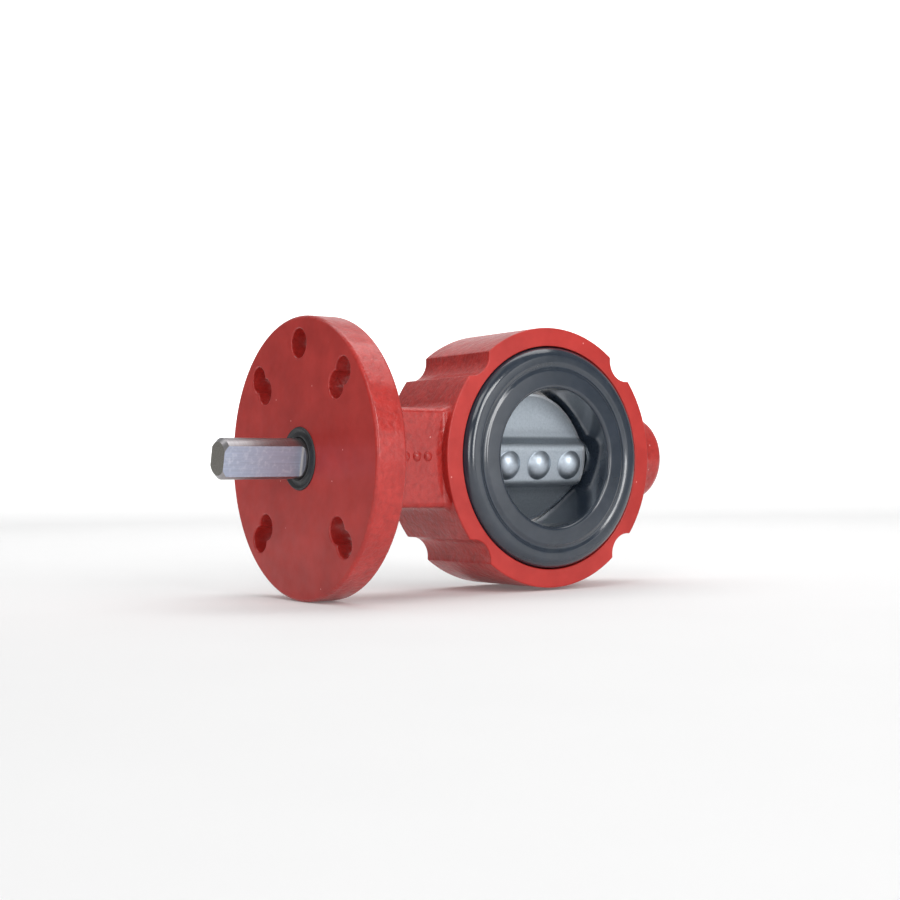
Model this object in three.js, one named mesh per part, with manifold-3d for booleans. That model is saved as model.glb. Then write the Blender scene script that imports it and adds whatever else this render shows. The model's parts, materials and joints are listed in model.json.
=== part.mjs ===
// A resilient-seated wafer butterfly valve, nominal size DN50 (2 inch), with a bare stem.
//
// Frame, in millimetres: the origin is where the axis of the stem crosses the axis of the bore,
// half way through the body. X runs along the stem, from the actuator flange (-X) to the closed
// boss (+X). Y runs along the bore, from the upstream face (-Y) to the downstream face. +Z is up
// when the valve lies with its stem level.
//
// Everything that turns is drawn with the disc shut, square to the bore, in a group that is then
// turned about X to the angle at which the valve stands.

import * as THREE from 'three';
import { mergeVertices } from 'three/addons/utils/BufferGeometryUtils.js';
import Module from 'manifold-3d';

const wasm = await Module();
wasm.setup();

// ---- driving dimensions, in millimetres and degrees -------------------------------------------

const GAP = 0.3; // between pieces that touch on the real valve
const OVERSHOOT = 5; // how far a cutting tool runs past what it cuts
const DISC_OPEN = 13; // how far the disc stands open

const LARGE_SIDES = 72; // sides of a circle as large as the body
const STEM_SIDES = 24; // sides of a circle as large as the stem
const HOLE_SIDES = 16; // sides of a bolt hole or a pin

const RING_RADIUS = 49.3;
const RING_WIDTH = 41;
const RING_BORE_RADIUS = 42.3;
const RING_CHAMFER = 0.5;
const NOTCH_RADIUS = 8; // the four scallops that centre the valve between the pipe bolts
const NOTCH_CIRCLE_RADIUS = 53.6;
const NOTCH_ANGLES = [45, 135, 225, 315];

const FLANGE_FACE = -98.7; // X of the actuator flange's outer face
const FLANGE_THICKNESS = 12;
const FLANGE_RADIUS = 50.3;
const FLANGE_CHAMFER = 1.1;
const LUG_HOLE_RADIUS = 5.2; // the single hole at the top
const LUG_CIRCLE_RADIUS = 40.6;
const LUG_ANGLE = 90; // round the flange, from +Y towards +Z
const LOBE_RADIUS = 4.75; // two holes run into one, so that two bolt circles fit
const LOBE_CIRCLE_RADII = [41.3, 35];
const LOBE_ANGLES = [45, 135, 225, 315];

const NECK_WIDTH = 34; // along Y
const NECK_HEIGHT = 36; // along Z
const NECK_CORNER = 2;
const BOSS_RADIUS = 17;
const BOSS_END = 61.5; // X of the closed end
const BOSS_ROUND = 4;
const ROUND_STEPS = 4; // straight pieces in a rounded edge or a dome

const STEM_RADIUS = 7.15;
const STEM_REACH = 31.8; // beyond the flange face
const STEM_END = 56.7; // X of the end inside the boss
const STEM_CHAMFER = 1.4;
const FLATS_ACROSS = 9.5;
const FLATS_SHOULDER = 2.5; // from the flange face to where the flats stop
const STEM_BORE_RADIUS = 9; // of the hole in the body that holds the bushings
const STEM_BORE_END = 58.5;

const BUSHING_RADIUS = 8.7;
const STEM_CLEAR_RADIUS = STEM_RADIUS + GAP;
const RETAINER_BORE = { radius: 10.2, depth: 13.2 };

// What sits round the stem, as depths below the flange face.
const WEATHER_SEAL = { radius: 11.2, depth: 5.7, proud: 0.7, lip: 1, bead: 0.8, beadDrop: 0.3 };
const RETAINER_GROOVE = { from: 6.6, to: 7.9, radius: 11.1 };
const RETAINING_RING = { from: 6.9, to: 7.6, inner: 8.2, outer: 10.8 };
const OUTER_WASHER = { from: 8.1, to: 9.2 };
const STEM_GROOVE = { from: 9.2, to: 11.9, radius: 5.9 };
const CLIP = { from: 9.5, to: 11.6 };
const INNER_WASHER = { from: 11.9, to: 12.9 };
const UPPER_BUSHING = { from: 13.7, to: 26 };
const U_CUP = { from: 27, to: 31, notch: 29 };
const MIDDLE_BUSHING = { from: 36, to: 48 };
const LOWER_BUSHING = { from: 148.2, to: 154.7 };
const THRUST_PAD_BOTTOM = 156.9;

const STEM_ORING_SECTION = 1.2; // radius of the cord
const ORING_SIDES = 6; // sides of a cord
const STEM_ORING_X = 46.5;
const STEM_ORING_GROOVE = { radius: 10.2, width: 3 };

const SEAT_FACE = 23; // Y of the rubber faces, which stand proud of the body until it is clamped
const SEAT_RADIUS = 42;
const SEAT_BORE_RADIUS = 26.3;
const SEAT_LIP_ROUND = 1.7;
const SEAT_RIM_ROUND = 1.6;
const SEAT_ROUND_STEPS = 2;
const SEAT_GROOVE = { inner: 34.3, outer: 36.5, depth: 1.1 };
const SEAT_SPOT_RADIUS = 9.6; // flats for the ends of the disc's hub
const SEAT_SPOT_X = 26.2;
const BACKING_RING_RADIUS = 33.3;
const BACKING_RING_HALF_WIDTH = 15.2;

const DISC_RADIUS = 26; // of the ball that the disc is turned to
const HUB_HALF_DEPTH = 12.4;
const HUB_END_RADIUS = 9.2;
const HUB_END_X = 25.9;
const HUB_END_CHAMFER = 0.6;
const BALL_STEPS = 16;

// A quarter of the disc's section across the stem, as depth from its middle and height above the
// stem: the flat front of the hub, its eased corner, its flank, its foot, and the tapering web.
const DISC_SECTION = [
  { depth: HUB_HALF_DEPTH, height: 6.5 },
  { depth: 11.8, height: 7.9 },
  { depth: 10.4, height: 8.5 },
  { depth: 8, height: 9.3 },
  { depth: 6.6, height: 10.8 },
  { depth: 5.2, height: 13.6 },
  { depth: 3.2, height: 20 },
  { depth: 1.6, height: DISC_RADIUS },
];

const PIN_SPACING = 15;
const PIN_SHANK_RADIUS = 2.5;
const PIN_HEAD_RADIUS = 5.7;
const PIN_HEAD_HEIGHT = 3.2;
const PIN_TAIL = 12.1;
const PIN_ORING = { radius: 3.7, section: 0.6, depth: 0.7 };
const PIN_RECESS = { radius: 4.8, depth: 1.6 };

// ---- materials --------------------------------------------------------------------------------

const finish = (color, roughness, metalness) => ({ color, roughness, metalness });
const RED_PAINT = finish(0xb5302c, 0.38, 0.1);
const SEAT_RUBBER = finish(0x3c4148, 0.5, 0.0);
const SEAL_RUBBER = finish(0x1d2025, 0.55, 0.0);
const PHENOLIC = finish(0x5b3a22, 0.6, 0.0);
const ACETAL = finish(0xd8d6cd, 0.45, 0.0);
const BRASS = finish(0xb89a52, 0.35, 0.9);
const DISC_STEEL = finish(0x9aa0a4, 0.45, 0.9);
const PIN_STEEL = finish(0xc8ccd0, 0.25, 0.95);
const STEM_STEEL = finish(0xb4b8c4, 0.32, 0.9);
const SPRING_STEEL = finish(0x6c7076, 0.35, 0.9);

// ---- shape helpers ----------------------------------------------------------------------------

const radians = THREE.MathUtils.degToRad;

// The X of a depth below the flange face.
const below = (depth) => FLANGE_FACE + depth;

// The points of an arc as [along, radius] pairs, from one angle to another.
function arc([along, radius], size, from, to, steps) {
  const points = [];
  for (let i = 0; i <= steps; i += 1) {
    const angle = radians(from + ((to - from) * i) / steps);
    points.push([along + size * Math.cos(angle), radius + size * Math.sin(angle)]);
  }
  return points;
}

// A solid of revolution about the Y axis. The outline is a list of [along, radius] pairs, out
// along the surface from low to high, and back down the inside if the solid is hollow.
function turned(outline, sides) {
  const points = outline.map(([along, radius]) => new THREE.Vector2(radius, along));
  return new THREE.LatheGeometry(points, sides);
}

// Turns what was made about Y so that it runs along X, low end at -X.
const alongX = (geometry) => geometry.rotateZ(-Math.PI / 2);

function rodOutline(low, high, radius) {
  return [[low, 0], [low, radius], [high, radius], [high, 0]];
}

function tubeOutline(low, high, inner, outer) {
  return [[low, inner], [low, outer], [high, outer], [high, inner], [low, inner]];
}

// A rod along X whose axis is at (y, z).
function rodX(low, high, radius, sides, y = 0, z = 0) {
  return alongX(turned(rodOutline(low, high, radius), sides)).translate(0, y, z);
}

function tubeX(low, high, inner, outer, sides) {
  return alongX(turned(tubeOutline(low, high, inner, outer), sides));
}

// A rod along Y whose axis is at (x, z).
function rodY(low, high, radius, sides, x = 0, z = 0) {
  return turned(rodOutline(low, high, radius), sides).translate(x, 0, z);
}

// The closed solid inside a geometry, for cutting and joining.
function solidOf(geometry) {
  const bare = new THREE.BufferGeometry();
  bare.setAttribute('position', geometry.getAttribute('position'));
  bare.setIndex(geometry.getIndex());
  const merged = mergeVertices(bare);
  const corners = merged.getIndex().array;
  const triVerts = [];
  for (let i = 0; i < corners.length; i += 3) {
    const [a, b, c] = corners.slice(i, i + 3);
    if (a !== b && b !== c && c !== a) {
      triVerts.push(a, b, c);
    }
  }
  return new wasm.Manifold(new wasm.Mesh({
    numProp: 3,
    vertProperties: new Float32Array(merged.getAttribute('position').array),
    triVerts: new Uint32Array(triVerts),
  }));
}

function geometryOf(solid) {
  const mesh = solid.getMesh();
  const geometry = new THREE.BufferGeometry();
  geometry.setAttribute('position', new THREE.BufferAttribute(mesh.vertProperties, 3));
  geometry.setIndex(new THREE.BufferAttribute(mesh.triVerts, 1));
  geometry.computeVertexNormals();
  return geometry;
}

function joined(...geometries) {
  return geometries.map(solidOf).reduce((sum, solid) => sum.add(solid));
}

function cutBy(solid, geometries) {
  return geometries.map(solidOf).reduce((rest, tool) => rest.subtract(tool), solid);
}

function piece(name, geometry, look) {
  const mesh = new THREE.Mesh(geometry, new THREE.MeshStandardMaterial(look));
  mesh.name = name;
  return mesh;
}

// ---- the body: ring, neck, actuator flange and boss in one casting --------------------------------

function bodyRing() {
  const face = RING_WIDTH / 2;
  const edge = face - RING_CHAMFER;
  const outline = [
    [-face, 0],
    [-face, RING_RADIUS - RING_CHAMFER],
    [-edge, RING_RADIUS],
    [edge, RING_RADIUS],
    [face, RING_RADIUS - RING_CHAMFER],
    [face, 0],
  ];
  return turned(outline, LARGE_SIDES);
}

function bodyNeck() {
  const low = FLANGE_FACE + FLANGE_THICKNESS / 2;
  const high = -RING_BORE_RADIUS + OVERSHOOT;
  const halfY = NECK_WIDTH / 2;
  const halfZ = NECK_HEIGHT / 2;
  const shape = new THREE.Shape();
  shape.absarc(halfZ - NECK_CORNER, halfY - NECK_CORNER, NECK_CORNER, 0, Math.PI / 2);
  shape.absarc(NECK_CORNER - halfZ, halfY - NECK_CORNER, NECK_CORNER, Math.PI / 2, Math.PI);
  shape.absarc(NECK_CORNER - halfZ, NECK_CORNER - halfY, NECK_CORNER, Math.PI, Math.PI * 1.5);
  shape.absarc(halfZ - NECK_CORNER, NECK_CORNER - halfY, NECK_CORNER, Math.PI * 1.5, Math.PI * 2);
  const length = { depth: high - low, bevelEnabled: false, curveSegments: ROUND_STEPS };
  return new THREE.ExtrudeGeometry(shape, length).rotateY(Math.PI / 2).translate(low, 0, 0);
}

function bodyFlange() {
  const back = FLANGE_FACE + FLANGE_THICKNESS;
  const outline = [
    [FLANGE_FACE, 0],
    [FLANGE_FACE, FLANGE_RADIUS - FLANGE_CHAMFER],
    [FLANGE_FACE + FLANGE_CHAMFER, FLANGE_RADIUS],
    [back - FLANGE_CHAMFER, FLANGE_RADIUS],
    [back, FLANGE_RADIUS - FLANGE_CHAMFER],
    [back, 0],
  ];
  return alongX(turned(outline, LARGE_SIDES));
}

function bodyBoss() {
  const centre = [BOSS_END - BOSS_ROUND, BOSS_RADIUS - BOSS_ROUND];
  const shoulder = arc(centre, BOSS_ROUND, 90, 0, ROUND_STEPS);
  const outline = [[RING_BORE_RADIUS - OVERSHOOT, 0], [RING_BORE_RADIUS - OVERSHOOT, BOSS_RADIUS]];
  return alongX(turned([...outline, ...shoulder, [BOSS_END, 0]], STEM_SIDES));
}

// The hole a bolt goes through, along X, at an angle round the flange from +Y towards +Z.
function flangeHole(radius, circleRadius, angle) {
  const low = FLANGE_FACE - OVERSHOOT;
  const high = FLANGE_FACE + FLANGE_THICKNESS + OVERSHOOT;
  const y = circleRadius * Math.cos(radians(angle));
  const z = circleRadius * Math.sin(radians(angle));
  return rodX(low, high, radius, HOLE_SIDES, y, z);
}

function flangeHoles() {
  const doubled = LOBE_ANGLES.flatMap((angle) =>
    LOBE_CIRCLE_RADII.map((circleRadius) => flangeHole(LOBE_RADIUS, circleRadius, angle)));
  return [flangeHole(LUG_HOLE_RADIUS, LUG_CIRCLE_RADIUS, LUG_ANGLE), ...doubled];
}

function notches() {
  const reach = RING_WIDTH / 2 + OVERSHOOT;
  return NOTCH_ANGLES.map((angle) => {
    const x = NOTCH_CIRCLE_RADIUS * Math.cos(radians(angle));
    const z = NOTCH_CIRCLE_RADIUS * Math.sin(radians(angle));
    return rodY(-reach, reach, NOTCH_RADIUS, HOLE_SIDES, x, z);
  });
}

// The stem's hole: stepped in the neck, blind in the boss, with a groove for each O-ring.
function stemHoles() {
  const outside = FLANGE_FACE - OVERSHOOT;
  const { radius, width } = STEM_ORING_GROOVE;
  const orings = [-STEM_ORING_X, STEM_ORING_X];
  const grooves = orings.map((x) => rodX(x - width / 2, x + width / 2, radius, STEM_SIDES));
  return [
    rodX(outside, below(WEATHER_SEAL.depth + GAP), WEATHER_SEAL.radius + GAP, STEM_SIDES),
    rodX(below(RETAINER_GROOVE.from), below(RETAINER_GROOVE.to), RETAINER_GROOVE.radius, STEM_SIDES),
    rodX(outside, below(RETAINER_BORE.depth), RETAINER_BORE.radius, STEM_SIDES),
    rodX(outside, STEM_BORE_END, STEM_BORE_RADIUS, STEM_SIDES),
    ...grooves,
  ];
}

function body() {
  const bore = rodY(-RING_WIDTH, RING_WIDTH, RING_BORE_RADIUS, LARGE_SIDES);
  const blank = joined(bodyRing(), bodyNeck(), bodyFlange(), bodyBoss());
  const casting = cutBy(blank, [bore, ...notches(), ...flangeHoles(), ...stemHoles()]);
  return piece('body', geometryOf(casting), RED_PAINT);
}

// ---- the cartridge seat: rubber moulded round a rigid ring ----------------------------------------

// One face of the rubber, from the bore out to the rim, as [along, radius] pairs; side is -1 or 1.
function seatFace(side) {
  const { inner, outer, depth } = SEAT_GROOVE;
  const lipCentre = [SEAT_FACE - SEAT_LIP_ROUND, SEAT_BORE_RADIUS + SEAT_LIP_ROUND];
  const lip = arc(lipCentre, SEAT_LIP_ROUND, -90, 0, SEAT_ROUND_STEPS);
  const rimCentre = [SEAT_FACE - SEAT_RIM_ROUND, SEAT_RADIUS - SEAT_RIM_ROUND];
  const rim = arc(rimCentre, SEAT_RIM_ROUND, 0, 90, SEAT_ROUND_STEPS);
  const groove = [
    [SEAT_FACE, inner],
    [SEAT_FACE - depth, inner + depth / 2],
    [SEAT_FACE - depth, outer - depth / 2],
    [SEAT_FACE, outer],
  ];
  return [...lip, ...groove, ...rim].map(([along, radius]) => [side * along, radius]);
}

function seat() {
  const channel = BACKING_RING_HALF_WIDTH + GAP;
  const floor = BACKING_RING_RADIUS - GAP;
  const outline = [
    ...seatFace(-1),
    [-channel, SEAT_RADIUS],
    [-channel, floor],
    [channel, floor],
    [channel, SEAT_RADIUS],
    ...seatFace(1).reverse(),
  ];
  outline.push(outline[0]);
  const rubber = solidOf(turned(outline, LARGE_SIDES));
  const spots = rodX(-SEAT_SPOT_X, SEAT_SPOT_X, SEAT_SPOT_RADIUS, STEM_SIDES);
  const hole = rodX(-SEAT_RADIUS, SEAT_RADIUS, STEM_CLEAR_RADIUS, STEM_SIDES);
  return piece('seat', geometryOf(cutBy(rubber, [spots, hole])), SEAT_RUBBER);
}

function seatBackingRing() {
  const half = BACKING_RING_HALF_WIDTH;
  const ring = solidOf(turned(tubeOutline(-half, half, BACKING_RING_RADIUS, SEAT_RADIUS), LARGE_SIDES));
  const hole = rodX(-RING_RADIUS, RING_RADIUS, STEM_CLEAR_RADIUS, STEM_SIDES);
  return piece('seat_backing_ring', geometryOf(cutBy(ring, [hole])), PHENOLIC);
}

// ---- what carries and seals the stem in the body ----------------------------------------------------

function weatherSeal() {
  const { radius, depth, proud, lip, bead, beadDrop } = WEATHER_SEAL;
  const outline = [
    [below(depth), STEM_CLEAR_RADIUS],
    [below(-proud), STEM_CLEAR_RADIUS],
    [below(-proud), STEM_CLEAR_RADIUS + lip],
    [FLANGE_FACE, STEM_CLEAR_RADIUS + lip + bead],
    [FLANGE_FACE, radius - bead],
    [below(beadDrop - proud), radius],
    [below(depth), radius],
    [below(depth), STEM_CLEAR_RADIUS],
  ];
  return piece('stem_weather_seal', alongX(turned(outline, STEM_SIDES)), SEAL_RUBBER);
}

function retainingRing() {
  const { from, to, inner, outer } = RETAINING_RING;
  return piece('retaining_ring', tubeX(below(from), below(to), inner, outer, STEM_SIDES), SPRING_STEEL);
}

function thrustWasher(name, { from, to }) {
  const outer = RETAINER_BORE.radius - GAP;
  return piece(name, tubeX(below(from), below(to), STEM_CLEAR_RADIUS, outer, STEM_SIDES), BRASS);
}

function bushing(name, { from, to }) {
  const tube = tubeX(below(from), below(to), STEM_CLEAR_RADIUS, BUSHING_RADIUS, STEM_SIDES);
  return piece(name, tube, ACETAL);
}

function uCup() {
  const { from, to, notch } = U_CUP;
  const middle = (STEM_CLEAR_RADIUS + BUSHING_RADIUS) / 2;
  const outline = [
    [below(from), STEM_CLEAR_RADIUS],
    [below(from), BUSHING_RADIUS],
    [below(to), BUSHING_RADIUS],
    [below(notch), middle],
    [below(to), STEM_CLEAR_RADIUS],
    [below(from), STEM_CLEAR_RADIUS],
  ];
  return piece('stem_u_cup', alongX(turned(outline, STEM_SIDES)), SEAL_RUBBER);
}

function stemOring(name, x) {
  const section = STEM_ORING_SECTION;
  const cord = arc([x, STEM_CLEAR_RADIUS + section], section, 180, -180, ORING_SIDES);
  return piece(name, alongX(turned(cord, STEM_SIDES)), SEAL_RUBBER);
}

function thrustPad() {
  const pad = rodX(STEM_END + GAP, below(THRUST_PAD_BOTTOM), BUSHING_RADIUS, STEM_SIDES);
  return piece('bottom_thrust_pad', pad, ACETAL);
}

// ---- what turns: stem, disc and the pins that join them --------------------------------------------

const pinPositions = [-PIN_SPACING, 0, PIN_SPACING];

// What is left either side of the two flats at the square-cut end of the stem.
function flatCuts() {
  const low = FLANGE_FACE - STEM_REACH - OVERSHOOT;
  const high = FLANGE_FACE - FLATS_SHOULDER;
  const middle = (FLATS_ACROSS + STEM_RADIUS) / 2;
  return [-middle, middle].map((y) => {
    const slab = new THREE.BoxGeometry(high - low, STEM_RADIUS, STEM_RADIUS * 3);
    return slab.translate((low + high) / 2, y, 0);
  });
}

function stem() {
  const tip = FLANGE_FACE - STEM_REACH;
  const { from, to, radius } = STEM_GROOVE;
  const outline = [
    [tip, 0],
    [tip, STEM_RADIUS - STEM_CHAMFER],
    [tip + STEM_CHAMFER, STEM_RADIUS],
    [below(from), STEM_RADIUS],
    [below(from), radius],
    [below(to), radius],
    [below(to), STEM_RADIUS],
    [STEM_END, STEM_RADIUS],
    [STEM_END, 0],
  ];
  const bar = solidOf(alongX(turned(outline, STEM_SIDES)));
  const crossHoles = pinPositions.map((x) =>
    rodY(-RING_WIDTH, RING_WIDTH, PIN_SHANK_RADIUS + GAP, HOLE_SIDES, x));
  return piece('stem', geometryOf(cutBy(bar, [...flatCuts(), ...crossHoles])), STEM_STEEL);
}

// One half of the split ring that sits in the stem's groove and keeps it in the body. The other
// half lies on the side, -1 or 1, that is cut away.
function stemClipHalf(name, cutSide) {
  const [low, high] = [below(CLIP.from), below(CLIP.to)];
  const [inner, outer] = [STEM_GROOVE.radius + GAP, RETAINER_BORE.radius - GAP];
  const slab = new THREE.BoxGeometry(OVERSHOOT * 2, RING_WIDTH, RING_WIDTH);
  slab.translate((low + high) / 2, (cutSide * (RING_WIDTH - GAP)) / 2, 0);
  const half = cutBy(solidOf(tubeX(low, high, inner, outer, STEM_SIDES)), [slab]);
  return piece(name, geometryOf(half), BRASS);
}

// The disc's section drawn out along the stem: the thick hub and the web above and below it.
function discBlank() {
  const quarter = DISC_SECTION.map(({ depth, height }) => [depth, height]);
  const mirrored = quarter.map(([y, z]) => [-y, z]).reverse();
  const half = [...quarter, ...mirrored];
  const loop = [...half, ...half.map(([y, z]) => [-y, -z])];
  const shape = new THREE.Shape(loop.map(([y, z]) => new THREE.Vector2(z, y)));
  const length = { depth: DISC_RADIUS * 2, bevelEnabled: false };
  return new THREE.ExtrudeGeometry(shape, length).rotateY(Math.PI / 2).translate(-DISC_RADIUS, 0, 0);
}

function discHubEnds() {
  const outline = [
    [-HUB_END_X, 0],
    [-HUB_END_X, HUB_END_RADIUS - HUB_END_CHAMFER],
    [HUB_END_CHAMFER - HUB_END_X, HUB_END_RADIUS],
    [HUB_END_X - HUB_END_CHAMFER, HUB_END_RADIUS],
    [HUB_END_X, HUB_END_RADIUS - HUB_END_CHAMFER],
    [HUB_END_X, 0],
  ];
  const journal = solidOf(alongX(turned(outline, STEM_SIDES)));
  const middle = rodX(HUB_END_RADIUS - DISC_RADIUS, DISC_RADIUS - HUB_END_RADIUS, RING_RADIUS, STEM_SIDES);
  return journal.subtract(solidOf(middle));
}

function disc() {
  const ball = solidOf(turned(arc([0, 0], DISC_RADIUS, 180, 0, BALL_STEPS), LARGE_SIDES));
  const blank = solidOf(discBlank()).intersect(ball).add(discHubEnds());
  const recessFloor = PIN_RECESS.depth - HUB_HALF_DEPTH;
  const drills = pinPositions.flatMap((x) => [
    rodY(-DISC_RADIUS, DISC_RADIUS, PIN_SHANK_RADIUS + GAP, HOLE_SIDES, x),
    rodY(-DISC_RADIUS, recessFloor, PIN_RECESS.radius, HOLE_SIDES, x),
  ]);
  const stemHole = rodX(-DISC_RADIUS, DISC_RADIUS, STEM_CLEAR_RADIUS, STEM_SIDES);
  return piece('disc', geometryOf(cutBy(blank, [stemHole, ...drills])), DISC_STEEL);
}

function discPin(name) {
  const seatY = -HUB_HALF_DEPTH - GAP;
  const capRadius = (PIN_HEAD_RADIUS ** 2 + PIN_HEAD_HEIGHT ** 2) / (2 * PIN_HEAD_HEIGHT);
  const spread = THREE.MathUtils.radToDeg(Math.asin(PIN_HEAD_RADIUS / capRadius));
  const capCentre = [seatY - PIN_HEAD_HEIGHT + capRadius, 0];
  const dome = arc(capCentre, capRadius, 180, 180 - spread, ROUND_STEPS);
  const outline = [...dome, [seatY, PIN_SHANK_RADIUS], [PIN_TAIL, PIN_SHANK_RADIUS], [PIN_TAIL, 0]];
  return piece(name, turned(outline, HOLE_SIDES), PIN_STEEL);
}

function discPinOring(name) {
  const { radius, section, depth } = PIN_ORING;
  const cord = arc([depth - HUB_HALF_DEPTH, radius], section, 180, -180, ORING_SIDES);
  return piece(name, turned(cord, HOLE_SIDES), SEAL_RUBBER);
}

// ---- the valve --------------------------------------------------------------------------------

const valve = new THREE.Group();
valve.add(
  body(),
  seat(),
  seatBackingRing(),
  weatherSeal(),
  retainingRing(),
  thrustWasher('outer_thrust_washer', OUTER_WASHER),
  thrustWasher('inner_thrust_washer', INNER_WASHER),
  bushing('upper_bushing', UPPER_BUSHING),
  uCup(),
  bushing('middle_bushing', MIDDLE_BUSHING),
  stemOring('upper_stem_oring', -STEM_ORING_X),
  stemOring('lower_stem_oring', STEM_ORING_X),
  bushing('lower_bushing', LOWER_BUSHING),
  thrustPad(),
);

const rotor = new THREE.Group();
rotor.rotation.x = radians(DISC_OPEN);
rotor.add(stem(), stemClipHalf('stem_clip_half_1', 1), stemClipHalf('stem_clip_half_2', -1), disc());
pinPositions.forEach((x, i) => {
  const pin = discPin(`disc_pin_${i + 1}`);
  const oring = discPinOring(`disc_pin_oring_${i + 1}`);
  pin.position.x = x;
  oring.position.x = x;
  rotor.add(pin, oring);
});
valve.add(rotor);

export default valve;
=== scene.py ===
"""The looks of a wafer butterfly valve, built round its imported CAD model.

The valve lies with its stem level: X runs along the stem, Y along the bore, Z up. The shapes are
drawn in millimetres and turned into metres as each mesh is made. What turns with the stem is drawn
with the disc shut, and then turned about X to the angle at which the valve stands.
"""

import json
import math

import bmesh
import bpy
from mathutils import Matrix, Vector


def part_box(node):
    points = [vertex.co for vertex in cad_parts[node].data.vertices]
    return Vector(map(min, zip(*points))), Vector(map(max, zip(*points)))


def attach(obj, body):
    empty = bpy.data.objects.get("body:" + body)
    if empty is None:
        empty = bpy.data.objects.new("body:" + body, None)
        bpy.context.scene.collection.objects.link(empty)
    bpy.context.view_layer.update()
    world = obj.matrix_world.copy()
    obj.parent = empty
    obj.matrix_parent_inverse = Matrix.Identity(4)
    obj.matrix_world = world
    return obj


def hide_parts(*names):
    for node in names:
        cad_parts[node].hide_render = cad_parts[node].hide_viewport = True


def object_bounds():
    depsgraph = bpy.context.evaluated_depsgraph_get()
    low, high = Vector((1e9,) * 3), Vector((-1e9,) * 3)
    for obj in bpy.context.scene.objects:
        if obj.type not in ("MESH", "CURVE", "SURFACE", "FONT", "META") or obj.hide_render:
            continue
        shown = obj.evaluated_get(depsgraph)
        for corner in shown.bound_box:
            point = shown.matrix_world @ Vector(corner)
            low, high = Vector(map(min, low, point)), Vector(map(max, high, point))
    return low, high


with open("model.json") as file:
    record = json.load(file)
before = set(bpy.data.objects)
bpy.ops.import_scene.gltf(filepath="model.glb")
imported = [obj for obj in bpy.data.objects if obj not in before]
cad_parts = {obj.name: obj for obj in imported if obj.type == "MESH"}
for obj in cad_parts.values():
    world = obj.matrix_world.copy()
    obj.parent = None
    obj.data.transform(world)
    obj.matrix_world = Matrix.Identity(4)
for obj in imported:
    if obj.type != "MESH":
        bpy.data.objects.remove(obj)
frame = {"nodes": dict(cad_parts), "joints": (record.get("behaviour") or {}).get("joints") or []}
CAD_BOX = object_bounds()

MM = 0.001
STATIC_BODY = "valve_body"
TURNING_BODY = "rotor"

# ---- sizes in millimetres, taken from the frame where the frame has them ----------------------

BODY_LOW, BODY_HIGH = (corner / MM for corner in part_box("body"))
SEAT_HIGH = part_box("seat")[1] / MM
STEM_LOW, STEM_HIGH = (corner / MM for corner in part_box("stem"))
DISC_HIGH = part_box("disc")[1] / MM
SEAL_LOW, SEAL_HIGH = (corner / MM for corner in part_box("stem_weather_seal"))
BACKING_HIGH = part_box("seat_backing_ring")[1] / MM

DISC_OPEN = math.radians(-frame["joints"][0]["range_deg"][0])

FLANGE_FACE = BODY_LOW.x
FLANGE_RADIUS = BODY_HIGH.z
FLANGE_THICKNESS = 12.0
FLANGE_BACK = FLANGE_FACE + FLANGE_THICKNESS
FLANGE_EASE = 1.3
FLANGE_FACE_REACH = 0.05  # a face this near the flange's outside counts as machined
LUG_HOLE_RADIUS = 5.2
LUG_HOLE_CIRCLE_RADIUS = 40.6
LUG_HOLE_ANGLE = 90.0  # degrees round the flange, from +Y towards +Z
LOBE_RADIUS = 4.75  # two holes run into one
LOBE_CIRCLE_RADII = (35.0, 41.3)
LOBE_ANGLES = (45, 135, 225, 315)  # counted the same way
HOLE_EASE = 0.6

RING_RADIUS = 49.3
RING_HALF_WIDTH = 20.5
RING_BORE_RADIUS = 42.3
RING_EASE = 0.6
RING_BORE_EASE = 0.4
RING_FACE_REACH = 0.3  # a face this near the ring's end counts as machined
NOTCH_RADIUS = 8.0
NOTCH_CIRCLE_RADIUS = 53.6
NOTCH_EASE = 0.35

NECK_HALF_WIDTH = 17.0
NECK_HALF_HEIGHT = 18.0
NECK_CORNER = 2.0
NECK_FILLET = 2.6
NECK_ROOT = 1.0  # how far it reaches into the flange
MARK_OUTLINE = [  # height over the neck's face, and radius there
    (1.0, 0.2), (0.93, 0.7), (0.7, 1.2), (0.35, 1.6), (0.0, 1.85), (-1.0, 1.85),
]
MARK_POSITIONS = [-65.0, -60.2, -55.4]
MARK_RISE = 0.5  # over the stem's axis

BOSS_RADIUS = 17.0
BOSS_END = BODY_HIGH.x
BOSS_ROUND = 4.0
BOSS_FILLET = 6.0
BOSS_FLARE_ALONG_BORE = 3.0
BOSS_FLARE_ACROSS = 7.0
BOSS_SINK = 0.15  # how far its fillet's edge lies under the ring's curve

STEM_BORE_RADIUS = 9.0
STEM_BORE_END = 58.5
COUNTERBORE_RADIUS = 10.2
COUNTERBORE_DEPTH = 13.2  # below the flange face
SNAP_GROOVE_RADIUS = 11.1
SNAP_GROOVE_DEPTHS = (6.6, 7.9)  # below the flange face
ORING_GROOVE_RADIUS = 10.2
ORING_GROOVE_REACHES = (45.0, 48.0)  # from the middle of the bore, on both sides

STEM_RADIUS = 7.15
STEM_CHAMFER = 1.4
STEM_TAIL_CHAMFER = 0.5
STEM_EDGE_EASE = 0.22
FLATS_ACROSS = 9.5
FLATS_SHOULDER = FLANGE_FACE - 1.3
FLATS_CUTTER_RADIUS = 1.0
FLAT_FACING = 0.99  # how squarely a flat faces along Y
END_FACING = 0.9  # and how squarely the drive end faces along X
CLIP_GROOVE_DEPTHS = (9.2, 11.9)  # below the flange face
CLIP_GROOVE_RADIUS = 5.9
CLEARANCE = 0.05  # round the stem in the disc, and round the shanks of the pins

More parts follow.
